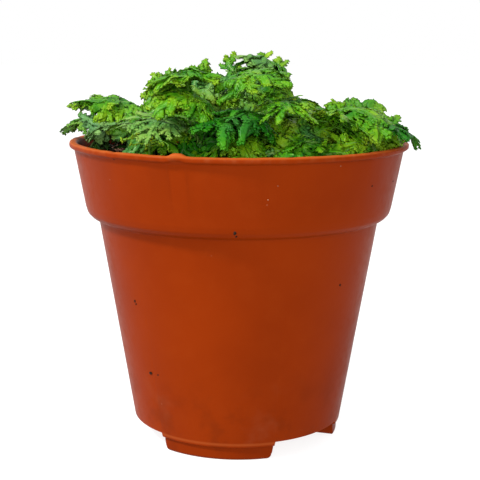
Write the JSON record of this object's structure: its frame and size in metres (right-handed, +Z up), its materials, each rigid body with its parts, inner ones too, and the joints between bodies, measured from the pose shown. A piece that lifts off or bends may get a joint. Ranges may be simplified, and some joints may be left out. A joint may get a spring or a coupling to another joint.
{
  "type": "potted spikemoss",
  "caption": "Low mound of arching, deeply cut fern-like fronds growing from soil in a round tapered plastic nursery pot with a wide band and three feet.",
  "frame": {"origin": "on the pot's axis, at the level that its feet stand on", "axes": "+Z up along the pot's axis, the front of the picture towards -Y, +X to its right"},
  "size_m": [0.1129, 0.106, 0.1206],
  "materials": {
    "terracotta_plastic": "moulded orange-brown plastic with a soft sheen, light scuffs and specks of soil",
    "potting_soil": "matte, moist dark peat with fine roots",
    "spikemoss_leaf": "fresh green leaves with a waxy, bluish sheen, yellower at the tips"
  },
  "bodies": {
    "root": {"pot": "terracotta_plastic", "soil": "potting_soil", "frond_00": "spikemoss_leaf", "frond_01": "spikemoss_leaf", "frond_02": "spikemoss_leaf", "frond_03": "spikemoss_leaf", "frond_04": "spikemoss_leaf", "frond_05": "spikemoss_leaf", "frond_06": "spikemoss_leaf", "frond_07": "spikemoss_leaf", "frond_08": "spikemoss_leaf", "frond_09": "spikemoss_leaf", "frond_10": "spikemoss_leaf", "frond_11": "spikemoss_leaf", "frond_12": "spikemoss_leaf", "frond_13": "spikemoss_leaf", "frond_14": "spikemoss_leaf", "frond_15": "spikemoss_leaf", "frond_16": "spikemoss_leaf", "frond_17": "spikemoss_leaf", "frond_18": "spikemoss_leaf", "frond_19": "spikemoss_leaf", "frond_20": "spikemoss_leaf", "frond_21": "spikemoss_leaf", "frond_22": "spikemoss_leaf", "frond_23": "spikemoss_leaf", "frond_24": "spikemoss_leaf", "frond_25": "spikemoss_leaf", "frond_26": "spikemoss_leaf", "frond_27": "spikemoss_leaf", "frond_28": "spikemoss_leaf", "frond_29": "spikemoss_leaf", "frond_30": "spikemoss_leaf", "frond_31": "spikemoss_leaf", "frond_32": "spikemoss_leaf", "frond_33": "spikemoss_leaf", "frond_34": "spikemoss_leaf"}
  },
  "joints": []
}
